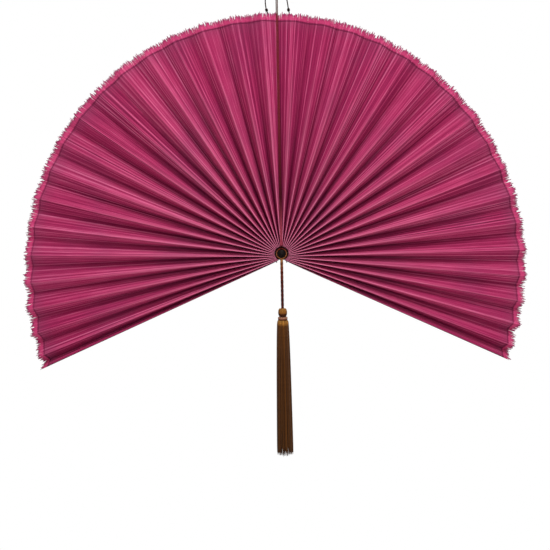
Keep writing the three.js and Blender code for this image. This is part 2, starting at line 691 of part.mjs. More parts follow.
// The skirt of hanging strands: fluted, widening downwards, with frayed ends
function addTasselSkirt() {
  const top = -(TASSEL_BEAD_TOP + TASSEL_BEAD_HEIGHT + NECK_HEIGHT + 2 * GAP);
  const sides = 2 * SKIRT_FLUTES;
  const shares = [0, 0.05, 0.15, 0.3, 0.45, 0.6, 0.75, 0.88, 0.95, 1];
  const rings = shares.map((share) => {
    const swell = SKIRT_TOP_RADIUS + (SKIRT_BOTTOM_RADIUS - SKIRT_TOP_RADIUS) * Math.sqrt(share);
    const ring = [];
    for (let k = 0; k < sides; k += 1) {
      const turn = k / sides * 2 * Math.PI;
      const groove = k % 2 === 0 ? 0 : SKIRT_FLUTE_DEPTH * Math.min(1, share * 8 + 0.3);
      const wander = 0.6 * share * (wave(k * 0.7 + 3) - 0.5);
      const radius = swell - groove + wander;
      const fray = share === 1 ? 9 * wave(k * 1.3) * (k % 2 === 0 ? 0.4 : 1) : 0;
      ring.push([radius * Math.cos(turn), -LOOP_DEPTH + radius * Math.sin(turn), top - SKIRT_LENGTH * share + fray]);
    }
    return ring;
  });
  add('tassel_skirt', loft(rings, SKIRT_FLUTE_DEPTH), tasselYarn);
}

addPleats();
addDrum();
addBead();
addLacing();
addHangingCords();
addGatherKnot();
addTasselLoop();
addTasselCord();
addTasselHead();
addTasselSkirt();

export default fan;
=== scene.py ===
"""A wall fan folded from a strip of dyed split-bamboo mat, with its hanging cords and its tassel.

Lengths are worked out in millimetres, as in the part's own source, and turned to metres where a mesh is made.
"""

import math

import bpy
import numpy as np
from mathutils import Matrix, Vector


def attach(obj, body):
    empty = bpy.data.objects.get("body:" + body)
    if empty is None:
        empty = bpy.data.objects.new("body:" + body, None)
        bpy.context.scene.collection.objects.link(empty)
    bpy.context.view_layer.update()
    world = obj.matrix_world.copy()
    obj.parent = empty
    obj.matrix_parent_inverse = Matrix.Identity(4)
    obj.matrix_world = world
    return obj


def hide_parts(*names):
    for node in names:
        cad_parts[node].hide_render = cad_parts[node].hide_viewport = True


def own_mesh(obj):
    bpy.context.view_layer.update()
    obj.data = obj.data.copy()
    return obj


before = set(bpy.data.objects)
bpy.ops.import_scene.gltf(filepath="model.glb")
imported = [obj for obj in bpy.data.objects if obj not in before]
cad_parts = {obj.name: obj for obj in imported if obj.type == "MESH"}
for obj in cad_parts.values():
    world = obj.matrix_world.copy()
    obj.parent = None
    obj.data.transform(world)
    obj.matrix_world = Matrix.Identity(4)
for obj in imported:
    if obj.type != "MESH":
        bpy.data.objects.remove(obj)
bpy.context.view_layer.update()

MM = 0.001
HUB_DROP = 596
HUB = Vector((0, 0, -HUB_DROP * MM))

# The camera looks straight at the fan from a little above its hub, and the photograph shows more of what
# lies below. It leans by a little over one degree.
PHOTO_LEAN = math.radians(1.1)
VIEW_WIDTH = 1.1
CAMERA_DISTANCE = 1.5
SENSOR_WIDTH = 36
EYE_ABOVE_HUB = 0.15
CENTRE_LEFT, CENTRE_DOWN = 0.0130, 0.0444


def new_object(name, data):
    made = bpy.data.objects.new(name, data)
    bpy.context.scene.collection.objects.link(made)
    return made


def make_camera():
    across = Vector((math.cos(PHOTO_LEAN), 0, -math.sin(PHOTO_LEAN)))
    upward = Vector((math.sin(PHOTO_LEAN), 0, math.cos(PHOTO_LEAN)))
    eye_level = HUB + upward * EYE_ABOVE_HUB
    camera = new_object("camera", bpy.data.cameras.new("camera"))
    turn = Matrix((across, upward, Vector((0, -1, 0)))).transposed().to_4x4()
    camera.matrix_world = Matrix.Translation(eye_level - Vector((0, CAMERA_DISTANCE, 0))) @ turn
    camera.data.sensor_width = SENSOR_WIDTH
    camera.data.lens = SENSOR_WIDTH * CAMERA_DISTANCE / VIEW_WIDTH
    camera.data.shift_x = -CENTRE_LEFT / VIEW_WIDTH
    camera.data.shift_y = -(CENTRE_DOWN + EYE_ABOVE_HUB) / VIEW_WIDTH
    bpy.context.scene.camera = camera


make_camera()

# Finishes


def linear(code):
    """An sRGB hex colour as linear red, green, blue and alpha."""
    levels = [int(code[i:i + 2], 16) / 255 for i in (1, 3, 5)]
    return [c / 12.92 if c <= 0.04045 else ((c + 0.055) / 1.055) ** 2.4 for c in levels] + [1]


def add_node(tree, kind, inputs=None, stops=None, **settings):
    """A node with its settings. An input is a number, a colour or another node's output."""
    made = tree.nodes.new("ShaderNode" + kind)
    for key, value in settings.items():
        setattr(made, key, value)
    for key, value in (inputs or {}).items():
        if isinstance(value, bpy.types.NodeSocket):
            tree.links.new(value, made.inputs[key])
        else:
            made.inputs[key].default_value = value
    if stops:
        elements = made.color_ramp.elements
        while len(elements) < len(stops):
            elements.new(0.5)
        for element, (place, code) in zip(elements, stops):
            element.position = place
            element.color = linear(code)
    return made


def new_material(name, **constants):
    """An empty material with its shader's constant values."""
    material = bpy.data.materials.new(name)
    material.use_nodes = True
    shader = material.node_tree.nodes["Principled BSDF"]
    for key, value in constants.items():
        shader.inputs[key.replace("_", " ")].default_value = value
    return material, material.node_tree, shader


def math_node(tree, operation, a, b=0.0, c=0.0):
    return add_node(tree, "Math", {0: a, 1: b, 2: c}, operation=operation).outputs[0]


def ranged(tree, value, low, high, start, end):
    """A number from start to end as a value goes from low to high."""
    return add_node(tree, "MapRange", {0: value, 1: low, 2: high, 3: start, 4: end}).outputs[0]


def noise(tree, vector, scale, detail, roughness=0.5):
    inputs = {"Vector": vector, "Scale": scale, "Detail": detail, "Roughness": roughness}
    return add_node(tree, "TexNoise", inputs).outputs[0]


def ramp(tree, value, *stops):
    return add_node(tree, "ValToRGB", {0: value}, stops=stops).outputs[0]


def mixed(tree, share, a, b, blend="MIX"):
    """Colour a turning into colour b by a share."""
    return add_node(tree, "Mix", {0: share, 6: a, 7: b}, data_type="RGBA", blend_type=blend).outputs[2]


def uv_in(tree, layer, scale):
    """The piece's own UV map, which is in metres, stretched by a scale in each direction."""
    uv = add_node(tree, "UVMap", uv_map=layer).outputs[0]
    return add_node(tree, "Mapping", {"Vector": uv, "Scale": scale}).outputs[0]


def bump(tree, shader, height, distance):
    node = add_node(tree, "Bump", {"Height": height, "Distance": distance, "Strength": 1.0})
    tree.links.new(node.outputs[0], shader.inputs["Normal"])


def dyed_bamboo():
    """Split bamboo dyed magenta: each sliver took the dye differently, so the mat is finely streaked.

    The tint attribute holds a sliver's own tone, its painted fold light (a painted highlight with some rubbed
    wear near the ridges and the hub, painted shade deep in the folds), and the fringe, which is below 0 on
    the strip just inside the sewing.
    """
    material, tree, shader = new_material("dyed_split_bamboo", IOR=1.5)
    tint = add_node(tree, "Attribute", attribute_name="tint").outputs["Vector"]
    tone, painted_fold_light_and_wear, fringe = add_node(tree, "SeparateXYZ", {0: tint}).outputs
    # Streaks about 1.2 mm wide and 60 mm long
    streak = noise(tree, uv_in(tree, "mat", (850, 16, 1)), 1.0, 3.0, 0.6)
    level = math_node(tree, "MULTIPLY_ADD", tone, 0.7, math_node(tree, "MULTIPLY", streak, 0.5))
    skin = ramp(tree, level, (0.3, "#7a0d3f"), (0.46, "#961c50"), (0.58, "#aa2b5e"), (0.7, "#c04071"),
                (0.86, "#d86a95"))
    blotch = noise(tree, add_node(tree, "TexCoord").outputs["Object"], 9.0, 3.0)
    # Broad patches where the dye dried duller, the strip inside the sewing, a painted highlight with some
    # rubbed wear on the ridges, painted shade deep in the folds, the bare ends and their dried tips
    for value, low, high, most, colour in (
            (blotch, 0.48, 0.75, 0.4, "#84305a"),
            (fringe, 0.0, -1.0, 0.4, "#8d4566"),
            (painted_fold_light_and_wear, 0.0, 1.0, 0.75, "#ea8cac"),
            (painted_fold_light_and_wear, 0.0, -1.0, 0.9, "#2c000a"),
            (fringe, 0.02, 0.12, 0.55, "#d4487c"),
            (fringe, 0.55, 0.9, 0.75, "#7a2350")):
        skin = mixed(tree, ranged(tree, value, low, high, 0.0, most), skin, linear(colour))
    tree.links.new(skin, shader.inputs["Base Color"])
    # Reflection is turned down where the painted shade in the folds is deep
    tree.links.new(ranged(tree, painted_fold_light_and_wear, -0.6, 0.0, 0.0, 0.16), shader.inputs["Specular IOR Level"])
    tree.links.new(ranged(tree, streak, 0.3, 0.7, 0.7, 0.5), shader.inputs["Roughness"])
    # Fibres about 0.25 mm apart along each sliver
    bump(tree, shader, noise(tree, uv_in(tree, "mat", (4000, 45, 1)), 1.0, 2.0), 0.00015)
    return material


def twisted_fibre(name, shade, body, light, plies, lay, *along, rough=0.8, sheen=0.0):
    """Twisted yarn: its fibres run slantwise round each ply, and the grooves between the plies get painted
    shade.

    along gives colours by which a cord darkens or fades on its way.
    """
    material, tree, shader = new_material(name, Roughness=rough, IOR=1.45, Specular_IOR_Level=0.12,
                                          Sheen_Weight=sheen, Sheen_Roughness=0.5)
    uv = add_node(tree, "UVMap", uv_map="lay").outputs[0]
    around, length, _ = add_node(tree, "SeparateXYZ", {0: uv}).outputs
    # Fibres slant across a ply, about 0.3 mm apart, drawn a little coarse so that they show
    slant = math_node(tree, "MULTIPLY_ADD", length, 1 / lay * 2.0, around)
    line = add_node(tree, "CombineXYZ", {0: math_node(tree, "MULTIPLY", slant, 9.0 * plies),
                                         1: math_node(tree, "MULTIPLY", length, 260.0)}).outputs[0]
    fibre = noise(tree, line, 1.0, 3.0, 0.65)
    tint = add_node(tree, "Attribute", attribute_name="tint").outputs["Vector"]
    tone, groove, place = add_node(tree, "SeparateXYZ", {0: tint}).outputs
    level = math_node(tree, "MULTIPLY_ADD", tone, 0.45, math_node(tree, "MULTIPLY", fibre, 0.6))
    yarn = ramp(tree, level, (0.22, shade), (0.5, body), (0.8, light))
    # Painted shade in the grooves between the plies
    yarn = mixed(tree, ranged(tree, groove, 0.0, 1.0, 0.0, 0.8), yarn, linear(shade))
    if along:
        yarn = mixed(tree, 1.0, yarn, ramp(tree, place, *along), "MULTIPLY")
    tree.links.new(yarn, shader.inputs["Base Color"])
    bump(tree, shader, fibre, 0.0002)
    return material


def dark_hub_wood():
    """Turned soft wood, nearly black-red: rings show faintly on its end."""
    material, tree, shader = new_material("nearly_black_hub_wood", Roughness=0.6, IOR=1.5, Specular_IOR_Level=0.15)
    places = add_node(tree, "TexCoord").outputs["Object"]
    # The rings' middle lies a few millimetres off the hub's axis
    centred = add_node(tree, "Mapping", {"Vector": places, "Location": (0.004, 0, 0.593),
                                         "Scale": (1, 0.15, 1)}).outputs[0]
    ripple = noise(tree, centred, 160.0, 3.0)
    rings = add_node(tree, "TexWave", {"Vector": centred, "Scale": 180.0, "Distortion": 2.5, "Detail": 2.0},
                     wave_type="RINGS", rings_direction="Y").outputs[1]
    level = math_node(tree, "MULTIPLY_ADD", rings, 0.6, math_node(tree, "MULTIPLY", ripple, 0.5))
    grain = ramp(tree, level, (0.2, "#100304"), (0.6, "#2a0709"), (0.95, "#4a120f"))
    tree.links.new(grain, shader.inputs["Base Color"])
    bump(tree, shader, level, 0.0003)
    return material


def black_lacquer():
    """Black lacquer over wood, rubbed thin in places so that a red-brown ground shows."""
    material, tree, shader = new_material("rubbed_black_lacquer", IOR=1.5, Specular_IOR_Level=0.06)
    places = add_node(tree, "TexCoord").outputs["Object"]
    rub = noise(tree, places, 210.0, 4.0, 0.65)
    coat = ramp(tree, rub, (0.35, "#030202"), (0.56, "#0c0606"), (0.76, "#34120e"))
    tree.links.new(coat, shader.inputs["Base Color"])
    tree.links.new(ranged(tree, rub, 0.3, 0.7, 0.25, 0.5), shader.inputs["Roughness"])
    bump(tree, shader, rub, 0.0002)
    return material


# Meshes


def corners(grid):
    """The corners of each cell in grids of stations by points."""
    return grid[:, :-1, :-1], grid[:, :-1, 1:], grid[:, 1:, 1:], grid[:, 1:, :-1]


def together(*values):
    """Values for each point side by side, as one array."""
    return np.stack(np.broadcast_arrays(*values), axis=-1)


def lengths_along(line):
    """How far along a line each of its points lies."""
    return np.concatenate([[0], np.cumsum(np.linalg.norm(np.diff(line, axis=0), axis=1))])


class Pile:
    """Closed tubes that are gathered into one mesh, with a UV map and a tint for each point."""

    def __init__(self, layer):
        self.layer = layer
        self.points, self.faces, self.uvs, self.tints, self.slots = [], [], [], [], []
        self.count = 0

    def add(self, rings, around, along, tint, slot=0):
        """rings is tubes x stations x points x 3, in millimetres. around and along give each point's UV."""
        tubes, stations, sides, _ = rings.shape
        ends = rings[:, [0, -1]].mean(axis=2)
        flat = np.concatenate([rings.reshape(-1, 3), ends.reshape(-1, 3)])
        ids = np.arange(tubes * stations * sides).reshape(tubes, stations, sides)
        wrapped = np.concatenate([ids, ids[:, :, :1]], axis=2)
        quads = np.stack(corners(wrapped), axis=-1).reshape(-1, 4)
        maps = np.stack([around, np.broadcast_to(along, around.shape)], axis=-1)
        quad_uv = np.stack(corners(maps), axis=-2).reshape(-1, 4, 2)
        caps, cap_uv = [], []
        for end, way in ((0, -1), (-1, 1)):
            middle = np.broadcast_to(ids.size + np.arange(tubes)[:, None] * 2 - end, (tubes, sides))
            first, second = (wrapped[:, end, :-1], wrapped[:, end, 1:])[::way]
            caps.append(np.stack([middle, first, second], axis=-1).reshape(-1, 3))
            first, second = (maps[:, end, :-1], maps[:, end, 1:])[::way]
            cap_uv.append(np.stack([(first + second) / 2, first, second], axis=-2).reshape(-1, 3, 2))
        tris, tri_uv = np.concatenate(caps), np.concatenate(cap_uv)
        # Faces round a negative volume look inwards
        a, b, c, d = (flat[quads[:, i]] for i in range(4))
        if (a * (np.cross(b, c) + np.cross(c, d))).sum() < 0:
            quads, quad_uv = quads[:, ::-1], quad_uv[:, ::-1]
            tris, tri_uv = tris[:, ::-1], tri_uv[:, ::-1]
        tint = np.broadcast_to(tint, rings.shape)
        end_tint = tint[:, [0, -1]].mean(axis=2)
        self.points.append(flat)
        self.tints.append(np.concatenate([tint.reshape(-1, 3), end_tint.reshape(-1, 3)]))
        self.faces += (quads + self.count).tolist() + (tris + self.count).tolist()
        self.uvs += [quad_uv.reshape(-1, 2), tri_uv.reshape(-1, 2)]
        self.slots += [slot] * (len(quads) + len(tris))
        self.count += len(flat)

    def make(self, name, materials):
        mesh = bpy.data.meshes.new(name)
        mesh.from_pydata((np.concatenate(self.points) * MM).tolist(), [], self.faces)
        uv_layer = mesh.uv_layers.new(name=self.layer)
        uv_layer.data.foreach_set("uv", np.concatenate(self.uvs).astype(np.float32).ravel())
        tint = mesh.attributes.new("tint", "FLOAT_VECTOR", "POINT")
        tint.data.foreach_set("vector", np.concatenate(self.tints).astype(np.float32).ravel())
        mesh.polygons.foreach_set("material_index", self.slots)
        mesh.polygons.foreach_set("use_smooth", [True] * len(self.faces))
        for material in materials:
            mesh.materials.append(material)
        mesh.update()
        return new_object(name, mesh)


def finished(piece, body, node):
    """Sets a piece on its body and in place of its CAD node."""
    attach(piece, body)
    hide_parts(node)


# The mat. Its folds follow the same sizes and rules as the part's source.

GAP = 0.4
PLEATS_PER_SIDE = 17
PANEL_WIDTH = 32
MAT_THICKNESS = 0.9
SHALLOWEST_FOLD = 7
SQUEEZED_SHARE = 0.56
MIDDLE_FOLD_ANGLE = math.radians(89.9)
SPREAD_ANGLE = math.radians(89.6)
HALF_PITCH_ANGLE = math.radians(3.605)
PACKED_PITCH = math.radians(4.5)
END_PANEL_ANGLES = {1: math.radians(0.8), -1: math.radians(1.5)}
# The mat has settled outward a little in the middle of each wing, and its ridges lean the same way
SETTLING = math.radians(0.8)
RIDGE_LEAN = math.radians(0.5)
END_TIGHTENING_SHARE = 0.36
TIGHTENING_POWER = 4
RIM_RADIUS = 484
RIM_SHIFT = (-12.4, -19.8)
END_REACH_LEFT, END_REACH_RIGHT, END_REACH_POWER = 9, 3, 6
INNER_RADIUS = 14
# The last crease, and the mat's free edge past it
LAST_CREASE = 2 * PLEATS_PER_SIDE
FREE_EDGE = LAST_CREASE + 1

SLIVERS_PER_PANEL = 22
# How many slivers lie together before dark and light are evened out
EVEN_OVER = 6
# How far whole and broken slivers reach past the sewn line at least, and the share that is broken
WHOLE_REACH = 12
BROKEN_REACH = 8
BROKEN_SHARE = 0.07
# Width of the duller strip just inside the sewing, and how many slivers at the mat's free edges get painted
# shade
DULL_STRIP = 14
SHADED_EDGE_SLIVERS = 2
STATIONS = np.array([0, 0.006, 0.014, 0.026, 0.042, 0.062, 0.088, 0.12, 0.16, 0.205, 0.255, 0.31, 0.37, 0.43,
                     0.49, 0.55, 0.61, 0.67, 0.73, 0.79, 0.85, 0.9, 0.95, 0.985, 1])
FRINGE_STATIONS = np.array([0.18, 0.5, 0.8, 1])
# A sliver's section: a rounded face to the front and the back, with narrow edges
SLIVER_SECTION = np.array([(-0.52, 0.15), (-0.3, 0.85), (0, 1), (0.3, 0.85), (0.52, 0.15), (0.3, -0.85),
                           (-0.3, -0.85)])

PITCHES = [HALF_PITCH_ANGLE * (1 - END_TIGHTENING_SHARE * (i / LAST_CREASE) ** TIGHTENING_POWER)
           for i in range(1, LAST_CREASE + 1)]
SPREADS = np.cumsum([0, *PITCHES])


def crease_angle(side, crease, radius):
    """A crease's angle round the hub: packed at the hub, spread out at the rim. side is 1 on the left."""
    spread = SPREAD_ANGLE + side * SPREADS[min(crease, LAST_CREASE)]
    if crease == 0:
        spread = MIDDLE_FOLD_ANGLE
    if crease == FREE_EDGE:
        spread += side * END_PANEL_ANGLES[side]
    else:
        past_first_pleat = max(0, crease - 2) / (LAST_CREASE - 2)
        spread += side * (SETTLING * math.sin(math.pi * past_first_pleat) + RIDGE_LEAN * (crease % 2))
    packed = SPREAD_ANGLE + side * crease * PACKED_PITCH
    return spread + (packed - spread) * INNER_RADIUS / radius


def spacing_at(side, crease, radius):
    """The angle from one crease to the next, near this one."""
    if crease == 0:
        return (crease_angle(1, 1, radius) - crease_angle(-1, 1, radius)) / 2
    near = crease_angle(side, crease - 1, radius)
    if crease >= LAST_CREASE:
        return np.abs(crease_angle(side, crease, radius) - near)
    return np.abs(crease_angle(side, crease + 1, radius) - near) / 2


def half_depth(side, crease, radius):
    """How far a crease lies from the mat's middle: the closer the creases, the deeper the fold."""
    across = radius * spacing_at(side, crease, radius)
    depth = np.sqrt(np.maximum(PANEL_WIDTH ** 2 - across ** 2, SHALLOWEST_FOLD ** 2))
    return depth - half_depth(side, LAST_CREASE, radius) if crease == FREE_EDGE else depth / 2


def mat_thickness(side, crease, radius):
    return np.minimum(MAT_THICKNESS, SQUEEZED_SHARE * radius * spacing_at(side, crease, radius))


def rim_radius(angle):
    """Where the mat is trimmed: a circle a little off the hub, with more reach at the two ends."""
    shift = math.hypot(*RIM_SHIFT)
    turn = angle - math.atan2(RIM_SHIFT[1], RIM_SHIFT[0])
    circle = shift * np.cos(turn) + np.sqrt(RIM_RADIUS ** 2 - (shift * np.sin(turn)) ** 2)
    from_middle = (angle - SPREAD_ANGLE) / SPREADS[LAST_CREASE]
    end_reach = END_REACH_LEFT if from_middle > 0 else END_REACH_RIGHT
    return circle + end_reach * abs(from_middle) ** END_REACH_POWER


def on_panel(side, valley, ridge, share, beyond, along, offset):
    """Points of a panel. along runs from 0 at the valley to 1 at the ridge, and offset is in half
    thicknesses towards the front. share runs from the hub to the sewn line, and beyond is past it."""
    radii = []
    for crease in (valley, ridge):
        rim = rim_radius(crease_angle(side, crease, RIM_RADIUS))
        radii.append(INNER_RADIUS + (rim - INNER_RADIUS) * share + beyond)
    radius = (radii[0] + radii[1]) / 2
    start = crease_angle(side, valley, radius)
    turn = crease_angle(side, ridge, radius) - start
    across = radius * np.abs(turn)
    valley_depth = half_depth(side, valley, radius)
    fall = valley_depth + half_depth(side, ridge, radius)
    width = np.hypot(across, fall)
    half = mat_thickness(side, ridge, radius) / 2
    sideways = along * across - offset * half * fall / width
    sideways = np.clip(sideways, 0, across)
    depth = valley_depth - along * fall - offset * half * across / width
    part = sideways / across
    angle = start + turn * part
    reach = radii[0] + (radii[1] - radii[0]) * part
    return np.stack([reach * np.cos(angle), depth, reach * np.sin(angle) - HUB_DROP], axis=-1)


def smooth_noise(rng, count, spacing):
    """A wandering value for each of a row, from 0 to 1, that changes over about so many places."""
    knots = rng.random(int(count / spacing) + 3)
    places = np.arange(count) / spacing
    low = places.astype(int)
    share = places - low
    share = share * share * (3 - 2 * share)
    return knots[low] * (1 - share) + knots[low + 1] * share


def along_mat():
    """Shares from the hub to the sewn line, and of the fringe's length beyond it, for each station."""
    share = np.concatenate([STATIONS, np.ones(len(FRINGE_STATIONS))])
    past = np.concatenate([np.zeros(len(STATIONS)), FRINGE_STATIONS])
    return share, past


def mat_tint(tone, painted_fold_light_and_wear, share, past):
    """Tone, painted fold light and wear, and fringe for each sliver and station."""
    dulled = np.maximum(0, 1 - (1 - share) * RIM_RADIUS / DULL_STRIP)
    fringe = np.where(past > 0, past, -dulled)
    return together(tone, painted_fold_light_and_wear, fringe)


def add_panel(pile, rng, side, valley, ridge):
    count = SLIVERS_PER_PANEL
    # Slivers split from one cane lie two by two, so the tone changes by pairs
    pairs = np.repeat(rng.random(count // 2), 2)
    tone = 0.5 * pairs + 0.28 * rng.random(count) + 0.22 * smooth_noise(rng, count, EVEN_OVER)
    # Dark and light lie mixed, so no broad part of a panel is much darker than the rest
    broad = np.convolve(tone - tone.mean(), np.ones(EVEN_OVER) / EVEN_OVER, mode="same")
    tone = 0.5 + 1.1 * (tone - 0.7 * broad - 0.5) + 0.06 * (rng.random() - 0.5)
    reach = WHOLE_REACH + 3 * smooth_noise(rng, count, 2.5) + 4.5 * rng.random(count) ** 2
    broken = rng.random(count) < BROKEN_SHARE
    reach = np.where(broken, BROKEN_REACH + 3 * rng.random(count), reach)
    inner_cut = 0.3 * rng.random(count)
    share, past = along_mat()
    beyond = reach[:, None] * past
    beyond[:, :3] += inner_cut[:, None] * [1, 0.6, 0.2]

    # The ends lean sideways and curl forward or back, and each sliver is a little uneven
    lean = (rng.random(count) - 0.5) * 0.9 / count
    curl = (rng.random(count) - 0.5) * 3
    slim = np.ones(len(share))
    slim[-4:] = [1.1, 1.15, 1.1, 0.7]
    wander = 0.12 * (rng.random((count, len(share))) - 0.5)
    height = 0.82 + 0.18 * rng.random(count)
    middle = (np.arange(count) + 0.5) / count
    along = middle[:, None, None] + SLIVER_SECTION[:, 0] / count * slim[:, None]
    along = along + (lean[:, None] * past)[:, :, None]
    offset = SLIVER_SECTION[:, 1] * height[:, None, None] * slim[:, None]
    offset = offset + wander[:, :, None] + (curl[:, None] * past ** 1.5)[:, :, None]
    rings = on_panel(side, valley, ridge, share[:, None], beyond[:, :, None], along, offset)

    strip = (valley + (ridge - valley) * middle) * PANEL_WIDTH * MM * side
    around = strip[:, None, None] + SLIVER_SECTION[:, 0] / count * PANEL_WIDTH * MM
    around = np.broadcast_to(around, rings.shape[:3])
    around = np.concatenate([around, around[:, :, :1]], axis=2)
    length = (INNER_RADIUS + (RIM_RADIUS - INNER_RADIUS) * share + beyond) * MM
    # A painted highlight with some rubbed wear near the ridge, painted shade near the valley, both more so
    # towards the hub
    nearness = (1 - share) ** 1.2
    painted_fold_light_and_wear = nearness * (np.maximum(0, middle * 2 - 1)[:, None] ** 2) * 0.7
    painted_fold_light_and_wear = painted_fold_light_and_wear - (0.15 + 0.85 * nearness) * (np.maximum(0, 1 - middle * 1.7)[:, None] ** 1.3)
    # A little painted shade towards the rim, and a painted highlight along the mat's inner edge at the hub
    painted_fold_light_and_wear = painted_fold_light_and_wear - 0.09 * share ** 3 + np.exp(-(share * RIM_RADIUS / 2.2) ** 2)
    # Painted shade on the last slivers at the mat's free edge
    if ridge == FREE_EDGE:
        painted_fold_light_and_wear[-SHADED_EDGE_SLIVERS:] = -1
    tint = mat_tint(tone[:, None], painted_fold_light_and_wear, share, past)
    pile.add(rings, around, length[:, :, None], tint[:, :, None, :])


# A ridge sliver's section: points on its first panel and on its second, as a place along and an offset
RIDGE_FRONT = np.array([(0.75, 0.5), (0.32, 1.05), (0.02, 1.25)])
RIDGE_BACK = np.array([(0.5, -0.6)])


def add_ridge(pile, rng, side, ridge):
    """The sliver that the mat is folded over, painted paler as a highlight with some rubbed wear, most of all
    near the hub.
    """
    share, past = along_mat()
    beyond = (WHOLE_REACH + 5 * rng.random()) * past
    slim = np.ones(len(share))
    slim[-3:] = [1, 0.9, 0.5]
    parts = []
    for valley, section in ((ridge - 1, RIDGE_FRONT), (ridge + 1, RIDGE_FRONT[::-1]),
                            (ridge + 1, RIDGE_BACK), (ridge - 1, RIDGE_BACK)):
        along = 1 - section[:, 0] / SLIVERS_PER_PANEL * slim[:, None]
        offset = section[:, 1] * slim[:, None]
        parts.append(on_panel(side, valley, ridge, share[:, None], beyond[:, None], along, offset))
    rings = np.concatenate(parts, axis=1)[None]
    sides = rings.shape[2]
    strip = ridge * PANEL_WIDTH + np.linspace(-1, 1, sides + 1)
    around = np.broadcast_to(strip * MM * side, (1, len(share), sides + 1))
    length = (INNER_RADIUS + (RIM_RADIUS - INNER_RADIUS) * share + beyond) * MM
    # Painted highlight with some rubbed wear along the ridge, stronger towards the hub
    painted_fold_light_and_wear = np.where(past > 0, 0.1, 0.12 + 0.78 * (1 - share) ** 2)
    tint = mat_tint(0.6, painted_fold_light_and_wear, share, past)
    pile.add(rings, around, length[None, :, None], tint[None, :, None, :])


STITCH_LENGTH = 3.2
SEWING_THREAD = 0.6
# Each row's place past the sewn line
SEWING_ROWS = (-0.7, 0.4)


def add_sewing(pile, side, *panels):
    """Two rows of thread over the slivers just inside the fringe, on the front and the back."""
    places = np.linspace(0.015, 0.985, 30)
    for row in SEWING_ROWS:
        for face in (1, -1):
            line = []
            for valley, ridge in panels:
                for place in places if valley < ridge else places[::-1]:
                    lift = 1.25 + 0.55 * abs(math.sin(math.pi * place * PANEL_WIDTH / STITCH_LENGTH))
                    line.append(on_panel(side, valley, ridge, 1.0, row, place, face * lift))
            rings, around, length = tube(np.array(line), SEWING_THREAD / 2, 6)
            pile.add(rings, around, length, np.array([0.5, 0.0, 0.0]), slot=1)


def tube(line, radius, sides, groove=0.0, plies=1, lay=0.0, ends=(1.0, 1.0)):
    """Rings round a line, turned without twist from one to the next. With plies they wind round it."""
    length = lengths_along(line)
    tangents = np.gradient(line, axis=0)
    tangents /= np.linalg.norm(tangents, axis=1)[:, None]
    normal = np.cross(tangents[0], (0.0, 0.0, 1.0))
    if np.linalg.norm(normal) < 0.1:
        normal = np.cross(tangents[0], (0.0, 1.0, 0.0))
    normals = [normal / np.linalg.norm(normal)]
    for tangent in tangents[1:]:
        moved = normals[-1] - tangent * (normals[-1] @ tangent)
        normals.append(moved / np.linalg.norm(moved))
    normals = np.array(normals)
    binormals = np.cross(tangents, normals)
    turn = np.arange(sides) / sides * 2 * math.pi
    size = radius * (1 - groove + groove * np.abs(np.cos(plies * turn / 2)) ** 0.8)
    twist = length * 2 * math.pi / lay if lay else np.zeros(len(line))
    angles = turn + twist[:, None]
    scale = np.ones(len(line))
    scale[0], scale[-1] = ends
    radii = size * scale[:, None]
    rings = (line[:, None] + (radii * np.cos(angles))[..., None] * normals[:, None]
             + (radii * np.sin(angles))[..., None] * binormals[:, None])
    around = np.broadcast_to(np.arange(sides + 1) / sides, (1, len(line), sides + 1))
    return rings[None], around, (length * MM)[None, :, None]


def fold_flat(piece):
    """Gives the piece its own copy of its mesh."""
    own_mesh(piece)


def make_pleats(finishes):
    for side, word in ((1, "left"), (-1, "right")):
        for number in range(1, PLEATS_PER_SIDE + 1):
            rng = np.random.default_rng(7000 + 100 * side + number)
            pile = Pile("mat")
            ridge = 2 * number - 1
            for valley in (ridge - 1, ridge + 1):
                add_panel(pile, rng, side, valley, ridge)
            add_ridge(pile, rng, side, ridge)
            add_sewing(pile, side, (ridge - 1, ridge), (ridge + 1, ridge))
            piece = pile.make(f"bamboo_{word}_{number:02d}", finishes)
            body = "hub" if number == 1 else f"{word}_{number:02d}"
            finished(piece, body, f"pleat_{word}_{number:02d}")
            if number > 1:
                fold_flat(piece)
        # The strip's last panel comes forward again beyond the last valley, and ends in a free edge
        pile = Pile("mat")
        add_panel(pile, np.random.default_rng(7600 + side), side, LAST_CREASE, FREE_EDGE)
        add_sewing(pile, side, (LAST_CREASE, FREE_EDGE))
        piece = pile.make(f"bamboo_{word}_end", finishes)
        finished(piece, body, f"end_panel_{word}")
        fold_flat(piece)


# Cords


def smooth_route(points, step):
    """The centripetal curve through points, as the part's source draws it, in even steps."""
    p = [np.array(q, float) for q in points]
    p = [2 * p[0] - p[1]] + p + [2 * p[-1] - p[-2]]
    fine = []
    for a, b, c, d in zip(p, p[1:], p[2:], p[3:]):
        t1 = np.linalg.norm(b - a) ** 0.5
        t2 = t1 + np.linalg.norm(c - b) ** 0.5
        t3 = t2 + np.linalg.norm(d - c) ** 0.5
        for t in t1 + (t2 - t1) * np.arange(16) / 16:
            a1 = a * (t1 - t) / t1 + b * t / t1
            a2 = b * (t2 - t) / (t2 - t1) + c * (t - t1) / (t2 - t1)
            a3 = c * (t3 - t) / (t3 - t2) + d * (t - t2) / (t3 - t2)
            b1 = a1 * (t2 - t) / t2 + a2 * t / t2
            b2 = a2 * (t3 - t) / (t3 - t1) + a3 * (t - t1) / (t3 - t1)
            fine.append(b1 * (t2 - t) / (t2 - t1) + b2 * (t - t1) / (t2 - t1))
    fine = np.array(fine + [p[-2]])
    length = lengths_along(fine)
    count = max(4, round(length[-1] / step)) + 1
    even = np.linspace(0, length[-1], count)
    return np.stack([np.interp(even, length, fine[:, axis]) for axis in range(3)], axis=1)


def lower_to_hub(points):
    return np.array(points, float) - [0, 0, HUB_DROP]


